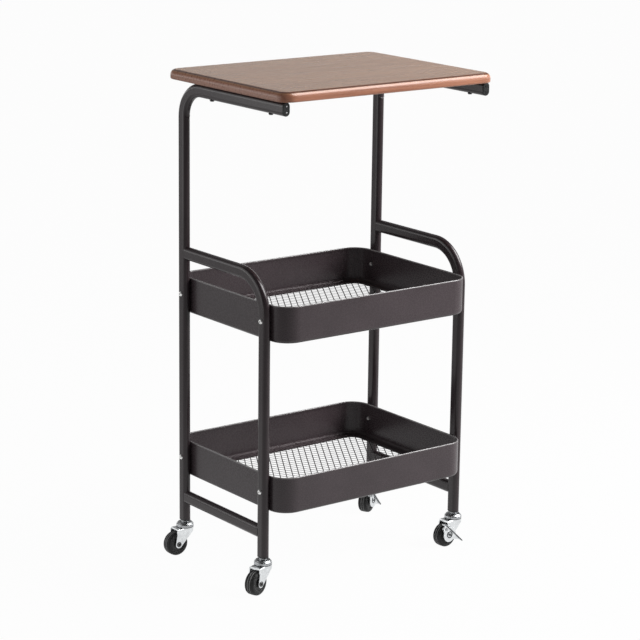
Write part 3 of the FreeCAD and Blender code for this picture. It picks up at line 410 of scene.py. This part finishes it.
def lever_finish(joint):
    """Brake lever: bright plate, with painted shade making the rib, pedal and pressed ring outside the plate's
    face darker.
    """
    material, tree, shader = surface(joint["child"] + "_lever_steel")
    outward = Vector(joint["axis"]).normalized()
    face = outward.dot(Vector(joint["pos_m"])) + LEVER_FACE
    depth = toward(tree, place_on_piece(tree), outward)
    raised = spread(tree, depth, 0.0, 1.0, face - LEVER_FADE, face + LEVER_FADE)
    cloud = clouds(tree)
    bright = mottled(tree, cloud, LEVER_STEEL, darkest=0.88, lightest=1.08)
    # Painted shade: the parts that stand out past the plate's face get the dark colour.
    dark = mottled(tree, cloud, LEVER_PAINTED_SHADE, darkest=0.7, lightest=1.3)
    scratched(tree, shader, mixed(tree, raised, bright, dark), LEVER_ROUGH)
    return material


def black_screw_finish():
    """Blackened screw: a dark oxide with brighter worn flecks."""
    material, tree, shader = surface("black_screw")
    wear = noise(tree, scale=700.0, detail=3.0, rough=0.6)
    tone = mottled(tree, wear, BLACK_SCREW, darkest=1.0, lightest=3.0, start=0.4, end=0.75)
    feed(tree, shader.inputs["Base Color"], tone)
    feed(tree, shader.inputs["Roughness"], spread(tree, wear, *BLACK_SCREW_ROUGH))
    shader_values(shader, Metallic=0.6)
    return material


# Rubber of the tyres; a grey sheen painted along their tread ribs is an attribute of the mesh.
RUBBER = (0.0120, 0.0120, 0.0122)
# Grey painted along the middle of the tread ribs as their sheen.
RIB_SHEEN_GREY = (0.190, 0.190, 0.190)
RUBBER_ROUGH = (0.50, 0.66)
SHEEN_ATTRIBUTE = "wear"


def rubber():
    """Black rubber: a painted grey sheen along the middle of the tread ribs, dusty in patches, with a fine grain.
    """
    material, tree, shader = surface("tyre_rubber")
    dust = noise(tree, scale=170.0, detail=4.0, rough=0.65)
    grain = noise(tree, scale=2400.0, rough=0.6)
    # The attribute that holds the painted sheen on the ribs.
    wear = add(tree, "Attribute", {"attribute_name": SHEEN_ATTRIBUTE}).outputs["Fac"]
    clean = mottled(tree, dust, RUBBER, darkest=0.7, lightest=2.2, start=0.3, end=0.75)
    # Painted sheen: grey where the attribute is 1, along the middle of each rib.
    worn = mottled(tree, dust, RIB_SHEEN_GREY, darkest=0.5, lightest=1.3, start=0.3)
    feed(tree, shader.inputs["Base Color"], mixed(tree, wear, clean, worn))
    feed(tree, shader.inputs["Roughness"], spread(tree, dust, *RUBBER_ROUGH))
    feed(tree, shader.inputs["Normal"], bump(tree, grain, strength=0.2, distance=0.05 * MM))
    shader_values(shader, Specular_IOR_Level=0.3)
    return material


# Materials by the record's slot, and those of single nodes that differ from their slot's.
SLOT_MATERIALS = {
    "wood": wood(),
    "frame_coat": powder_coat("frame_coat", FRAME_COAT, rough=0.22, gloss=0.40),
    "net_coat": powder_coat("net_coat", NET_COAT, rough=0.36, gloss=0.40),
    "black_plastic": moulded_plastic("black_plastic", BLACK_PLASTIC, rough=0.50),
    "screw_steel": bare_metal("screw_steel", SCREW_STEEL, rough=0.45),
    "black_screw": black_screw_finish(),
    "bearing_steel": bare_metal("bearing_steel", BEARING_STEEL, rough=0.36),
    "fork_zinc": bare_metal("fork_zinc", FORK_ZINC, rough=0.27, spangle=True),
    "tyre_rubber": rubber(),
    "hub_plastic": moulded_plastic("hub_plastic", HUB_PLASTIC, rough=0.45),
}
AXLE_FINISH = bare_metal("axle_steel", AXLE_STEEL, rough=0.36)


def node_materials():
    """Materials of the left plug, the trays, the axles and the brake levers, by node."""
    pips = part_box("left_arm_plug")[0].y + PIP_DEPTH
    found = {"left_arm_plug": moulded_plastic("plug_plastic", BLACK_PLASTIC, rough=0.42, pips=pips)}
    for tray in TRAYS:
        low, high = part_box(tray)
        levels = (low.z, high.z)
        found[tray] = powder_coat(tray + "_coat", TRAY_COAT, rough=0.27, gloss=0.40, tray_levels=levels)
    for joint in frame["joints"]:
        if joint["name"].endswith("_spin"):
            found[joint["name"].replace("_spin", "_axle")] = AXLE_FINISH
        elif joint["name"].endswith("_brake_tip"):
            found[joint["child"] + "_lever"] = lever_finish(joint)
    return found


def set_material(piece, material):
    """One material all over a piece."""
    piece.data.materials.clear()
    piece.data.materials.append(material)


def dress_nodes():
    """Give every CAD node its material."""
    own = node_materials()
    for row in frame["record"]["subparts"]:
        name = row["node"]
        finish = own[name] if name in own else SLOT_MATERIALS[row["material_slot"]]
        set_material(frame["nodes"][name], finish)


dress_nodes()


# Pieces made here: the nets and tyres stand for CAD nodes, the creases are added to the uprights.
def new_piece(name, mesh, body, slot, *stands_for):
    """Finished mesh as a piece that rides on a body."""
    data = bpy.data.meshes.new(name)
    bmesh.ops.recalc_face_normals(mesh, faces=mesh.faces)
    mesh.to_mesh(data)
    mesh.free()
    piece = bpy.data.objects.new(name, data)
    bpy.context.scene.collection.objects.link(piece)
    set_material(piece, SLOT_MATERIALS[slot])
    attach(piece, body)
    if stands_for:
        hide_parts(*stands_for)
    return piece


def smooth(piece):
    """Smooth shading all over a piece."""
    for face in piece.data.polygons:
        face.use_smooth = True


def bridge(mesh, ring, after):
    """Closed band of faces between two rings of as many points."""
    for number in range(len(ring)):
        other = (number + 1) % len(ring)
        mesh.faces.new((ring[number], ring[other], after[other], after[number]))


# Nets in the tray floors.
NET_HALF_X = 6.5 * MM
NET_HALF_Y = 10.65 * MM
NET_STRAND = 1.7 * MM
NET_DEPTH = 0.2 * MM
NET_BORDER = 7.5 * MM
NET_CORNER = 28.0 * MM
NET_SPARE = 2
WELD_DISTANCE = 0.01 * MM
CUT_TOLERANCE = 0.0001 * MM
CORNER_STEPS = 8
CORNER_SIGNS = ((1, 1), (-1, 1), (-1, -1), (1, -1))


def rounded_loop(low, high, inset, corner):
    """Points round a rectangle with round corners, and the outward direction at each."""
    points = []
    for number, (sign_x, sign_y) in enumerate(CORNER_SIGNS):
        middle_x = (high.x if sign_x > 0 else low.x) - sign_x * corner
        middle_y = (high.y if sign_y > 0 else low.y) - sign_y * corner
        for step in range(CORNER_STEPS + 1):
            angle = math.pi / 2 * (number + step / CORNER_STEPS)
            out = Vector((math.cos(angle), math.sin(angle), 0.0))
            points.append((Vector((middle_x, middle_y, 0.0)) + out * (corner - inset), out))
    return points


def thicken(mesh, level):
    """Give a flat mesh a lower side at a level, and walls along its open edges, always in the same order."""
    faces = mesh.faces[:]
    open_edges = [edge for edge in mesh.edges if len(edge.link_faces) == 1]
    lower = {}
    for vertex in mesh.verts[:]:
        if vertex.link_faces:
            lower[vertex] = mesh.verts.new((vertex.co.x, vertex.co.y, level))
    for face in faces:
        mesh.faces.new([lower[vertex] for vertex in reversed(face.verts[:])])
    for edge in open_edges:
        one, two = edge.verts
        mesh.faces.new((one, two, lower[two], lower[one]))


def wire_net(name, node):
    """Flattened expanded-metal net at its true pitch, with a border under the tray's ledge."""
    low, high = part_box(node)
    middle = (low + high) / 2
    shrink = 1 - NET_STRAND / 2 * math.hypot(NET_HALF_X, NET_HALF_Y) / (NET_HALF_X * NET_HALF_Y)
    columns = int((high.x - low.x) / NET_HALF_X / 2) + NET_SPARE
    rows = int((high.y - low.y) / NET_HALF_Y / 2) + NET_SPARE
    tips = (Vector((NET_HALF_X, 0, 0)), Vector((0, NET_HALF_Y, 0)),
            Vector((-NET_HALF_X, 0, 0)), Vector((0, -NET_HALF_Y, 0)))
    mesh = bmesh.new()
    for column in range(-columns, columns + 1):
        for row in range(-rows, rows + 1):
            if (column + row) % 2:
                continue
            centre = Vector((middle.x + column * NET_HALF_X, middle.y + row * NET_HALF_Y, 0.0))
            outer = [mesh.verts.new(centre + tip) for tip in tips]
            inner = [mesh.verts.new(centre + tip * shrink) for tip in tips]
            bridge(mesh, outer, inner)
    bmesh.ops.remove_doubles(mesh, verts=mesh.verts, dist=WELD_DISTANCE)
    border_outside = rounded_loop(low, high, 0.0, NET_CORNER)
    border_inside = rounded_loop(low, high, NET_BORDER, NET_CORNER)
    for point, out in border_inside:
        geometry = mesh.verts[:] + mesh.edges[:] + mesh.faces[:]
        bmesh.ops.bisect_plane(mesh, geom=geometry, dist=CUT_TOLERANCE, plane_co=point, plane_no=out,
                               clear_outer=True)
    outside = [mesh.verts.new(point) for point, out in border_outside]
    inside = [mesh.verts.new(point) for point, out in border_inside]
    bridge(mesh, outside, inside)
    for vertex in mesh.verts:
        vertex.co.z = high.z
    thicken(mesh, high.z - NET_DEPTH)
    new_piece(name, mesh, "frame", "net_coat", node)


for tray in TRAYS:
    wire_net(tray + "_wire_net", tray + "_net")

# Tyres with tread rings.
TYRE_STEPS = 128
TYRE_CORE = 12.0 * MM
TREAD_HALF = 5.2 * MM
SHOULDER = 4.0 * MM
CROWN = 0.25 * MM
GROOVES = (-4.3 * MM, 0.0, 4.3 * MM)
GROOVE_DEPTH = 0.55 * MM
GROOVE_WIDTH = 0.45 * MM
RIB_MIDDLE = 2.1 * MM
RIB_HALF = 1.3 * MM
PROFILE_STEP = 0.2 * MM
BEAD_ROUND = 0.5 * MM


def tyre_radius(offset, radius):
    """Radius of the tread at a sideways offset: slightly crowned, grooved, with round shoulders."""
    reach = abs(offset)
    if reach <= TREAD_HALF:
        level = radius - CROWN * (reach / TREAD_HALF) ** 2
    else:
        part = min((reach - TREAD_HALF) / SHOULDER, 1.0)
        level = radius - CROWN - SHOULDER * (1 - math.sqrt(1 - part ** 2))
    for groove in GROOVES:
        level -= GROOVE_DEPTH * math.exp(-((offset - groove) / GROOVE_WIDTH) ** 2)
    return level


def tyre_profile(radius):
    """Section of the tyre as (sideways offset, radius) points, from bead to bead over the tread."""
    half = TREAD_HALF + SHOULDER
    steps = int(round(2 * half / PROFILE_STEP))
    profile = [(-half + BEAD_ROUND, TYRE_CORE), (-half, TYRE_CORE + BEAD_ROUND)]
    for number in range(steps + 1):
        offset = -half + 2 * half * number / steps
        profile.append((offset, tyre_radius(offset, radius)))
    profile += [(half, TYRE_CORE + BEAD_ROUND), (half - BEAD_ROUND, TYRE_CORE)]
    return profile


def rib_sheen(offset):
    """Share of the painted sheen at a sideways offset: 1 along the middle of each rib, 0 in grooves and on sides.
    """
    return max(0.0, 1.0 - ((abs(offset) - RIB_MIDDLE) / RIB_HALF) ** 2)


def tyre(corner, joint):
    """Turned rubber tyre with tread rings, about the wheel's own axis."""
    middle = Vector(joint["pos_m"])
    axis = Vector(joint["axis"]).normalized()
    forward = axis.cross(UP).normalized()
    upward = forward.cross(axis).normalized()
    profile = tyre_profile(middle.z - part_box(corner + "_tyre")[0].z)
    mesh = bmesh.new()
    rings = []
    for step in range(TYRE_STEPS):
        angle = 2 * math.pi * step / TYRE_STEPS
        out = forward * math.cos(angle) + upward * math.sin(angle)
        rings.append([mesh.verts.new(middle + axis * offset + out * level) for offset, level in profile])
    for step in range(TYRE_STEPS):
        bridge(mesh, rings[step], rings[(step + 1) % TYRE_STEPS])
    piece = new_piece(corner + "_tread_tyre", mesh, corner + "_wheel", "tyre_rubber", corner + "_tyre")
    smooth(piece)
    # Share of painted sheen along the tread ribs, stored on the points.
    levels = [rib_sheen(offset) for offset, level in profile]
    piece.data.attributes.new(SHEEN_ATTRIBUTE, "FLOAT", "POINT").data.foreach_set("value", levels * TYRE_STEPS)


for joint in frame["joints"]:
    if joint["name"].endswith("_spin"):
        tyre(joint["name"].replace("_spin", ""), joint)

# Creases in the bends of the uprights.
CREASE_STEPS = 24
CREASE_SIDES = 10
CREASE_SWEEP = math.radians(62.0)
CREASE_RADIUS = 1.5 * MM
CREASE_END_SHARE = 0.08
CREASE_SUNK = 0.6 * MM
CREASE_RISE = 7.0 * MM
CREASE_DROP = 62.0 * MM
TUBE_ROUND = 7.0 * MM
TUBE_BACK = 15.5 * MM


def bend_crease(name, node):
    """Small curved fold in the tube on the inside of its bend, just where the bend begins."""
    low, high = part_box(node)
    middle = Vector(((low.x + high.x) / 2, high.y - TUBE_BACK, high.z - CREASE_DROP))
    mesh = bmesh.new()
    rings = []
    for step in range(CREASE_STEPS + 1):
        share = 2 * step / CREASE_STEPS - 1
        angle = CREASE_SWEEP * share
        out = Vector((math.sin(angle), -math.cos(angle), 0.0))
        spot = middle + out * (TUBE_ROUND - CREASE_SUNK) + UP * (CREASE_RISE * share ** 2)
        fullness = math.sqrt(1 - share ** 2)
        thick = CREASE_RADIUS * (CREASE_END_SHARE + (1 - CREASE_END_SHARE) * fullness)
        ring = []
        for side in range(CREASE_SIDES):
            turn = 2 * math.pi * side / CREASE_SIDES
            around = out * math.cos(turn) + UP * math.sin(turn)
            ring.append(mesh.verts.new(spot + around * thick))
        rings.append(ring)
    for ring, after in zip(rings, rings[1:]):
        bridge(mesh, ring, after)
    mesh.faces.new(rings[0])
    mesh.faces.new(rings[-1])
    smooth(new_piece(name, mesh, "frame", "frame_coat"))


for side in ("left", "right"):
    bend_crease(side + "_bend_crease", side + "_upright")

# Stage: a pale floor, a surround that reflections show white low down and dark overhead, and soft boxes.
# Brightness that is named mirrored is what reflections show; it falls off toward the photograph's side.
AWAY = (0.60, 0.80, 0.0)
FLOOR_HALF = 30.0
FLOOR_COLOUR = (0.42, 0.42, 0.42)
FLOOR_SEEN_WHITE = 0.97
FLOOR_NEAR_MIRRORED = 0.92
FLOOR_FAR_MIRRORED = 0.42
FLOOR_NEAR_END = 0.40
FLOOR_FAR_START = 1.30
FLOOR_FRONT_SHARE = 0.15
FLOOR_FRONT_START = -2.6
FLOOR_FRONT_END = -0.5
AMBIENT_LOW = 0.12
AMBIENT_HIGH = 0.55
HORIZON_MIRRORED = 2.2
HORIZON_END = 0.06
BACKDROP_MIRRORED = 0.36
BACKDROP_START = 0.13
BACKDROP_END = 0.30
CEILING_MIRRORED = 0.06
CEILING_START = 0.50
SURROUND_FRONT_SHARE = 0.15
SURROUND_FRONT_START = -0.5
SURROUND_FRONT_END = 0.1
# Round bright patches of the surround: direction, brightness; and the cosines at their edge and middle.
MIRRORED_PATCHES = (
    ((0.60, -0.34, 0.72), 12.0),
    ((0.15, 0.77, 0.62), 0.4),
)
PATCH_EDGE = 0.90
PATCH_MIDDLE = 0.96
# Soft boxes: name, place, width and height, power in watts, and whether reflections show them.
SOFT_BOXES = (
    ("key", (1.30, -1.10, 1.27), (1.2, 1.0), 66.0, False),
    ("side", (-2.05, 0.95, 0.95), (2.4, 1.8), 15.0, True),
)
LIGHT_TARGET = Vector((0.0, 0.0, 0.45))


def plain_ray(tree, path):
    """1 for rays from the camera and rays seen through something, else 0."""
    return combined(tree, "MAXIMUM", path.outputs["Is Camera Ray"], path.outputs["Is Transmission Ray"])


def floor_finish():
    """Pale paint that the camera sees nearly white, with a faint shadow, and reflections dimmer far out."""
    material = bpy.data.materials.new("floor")
    material.use_nodes = True
    tree = material.node_tree
    tree.nodes.clear()
    paint = add(tree, "BsdfDiffuse", Color=opaque(FLOOR_COLOUR))
    white = add(tree, "Emission", Color=opaque(WHITE), Strength=1.0)
    path = add(tree, "LightPath")
    spot = add(tree, "TexCoord").outputs["Object"]
    reach = add(tree, "VectorMath", {"operation": "LENGTH"}, Vector=spot).outputs["Value"]
    bright = spread(tree, reach, FLOOR_NEAR_MIRRORED, FLOOR_FAR_MIRRORED, FLOOR_NEAR_END, FLOOR_FAR_START)
    front = spread(tree, toward(tree, spot, AWAY), FLOOR_FRONT_SHARE, 1.0,
                   FLOOR_FRONT_START, FLOOR_FRONT_END)
    mirrored = between(tree, path.outputs["Is Glossy Ray"], 0.0, combined(tree, "MULTIPLY", bright, front))
    share = between(tree, plain_ray(tree, path), mirrored, FLOOR_SEEN_WHITE)
    both = add(tree, "MixShader", Fac=share)
    tree.links.new(paint.outputs["BSDF"], both.inputs[1])
    tree.links.new(white.outputs["Emission"], both.inputs[2])
    add(tree, "OutputMaterial", Surface=both.outputs["Shader"])
    return material


def make_floor():
    """Large level floor under the casters."""
    mesh = bmesh.new()
    bmesh.ops.create_grid(mesh, x_segments=1, y_segments=1, size=FLOOR_HALF)
    data = bpy.data.meshes.new("floor")
    mesh.to_mesh(data)
    mesh.free()
    floor = bpy.data.objects.new("floor", data)
    bpy.context.scene.collection.objects.link(floor)
    set_material(floor, floor_finish())


def make_world():
    """White to the camera; in reflections white near the horizon, dark overhead; soft light from above."""
    world = bpy.data.worlds.new("surround")
    bpy.context.scene.world = world
    world.use_nodes = True
    tree = world.node_tree
    tree.nodes.clear()
    direction = add(tree, "TexCoord").outputs["Generated"]
    height = coordinate(tree, direction, "Z")
    light = between(tree, height, AMBIENT_LOW, AMBIENT_HIGH)
    backdrop = spread(tree, height, HORIZON_MIRRORED, BACKDROP_MIRRORED, HORIZON_END, BACKDROP_START)
    front = spread(tree, toward(tree, direction, AWAY), SURROUND_FRONT_SHARE, 1.0,
                   SURROUND_FRONT_START, SURROUND_FRONT_END)
    around = combined(tree, "MULTIPLY", backdrop, front)
    mirrored = spread(tree, height, around, CEILING_MIRRORED, BACKDROP_END, CEILING_START)
    for middle, bright in MIRRORED_PATCHES:
        nearness = toward(tree, direction, Vector(middle).normalized())
        mirrored = spread(tree, nearness, mirrored, bright, PATCH_EDGE, PATCH_MIDDLE)
    path = add(tree, "LightPath")
    strength = between(tree, path.outputs["Is Glossy Ray"], light, mirrored)
    strength = between(tree, plain_ray(tree, path), strength, 1.0)
    sky = add(tree, "Background", Color=opaque(WHITE), Strength=strength)
    add(tree, "OutputWorld", Surface=sky.outputs["Background"])


def make_lights():
    """Soft boxes aimed at the middle of the cart."""
    for name, place, (wide, tall), power, mirrored in SOFT_BOXES:
        lamp = bpy.data.lights.new(name, "AREA")
        lamp.shape = "RECTANGLE"
        lamp.size = wide
        lamp.size_y = tall
        lamp.energy = power
        light = bpy.data.objects.new(name, lamp)
        light.visible_glossy = mirrored
        light.location = place
        light.rotation_mode = "QUATERNION"
        light.rotation_quaternion = (LIGHT_TARGET - Vector(place)).to_track_quat("-Z", "Y")
        bpy.context.scene.collection.objects.link(light)


make_floor()
make_world()
make_lights()
bpy.context.scene.view_settings.view_transform = "Standard"

bpy.context.view_layer.update()
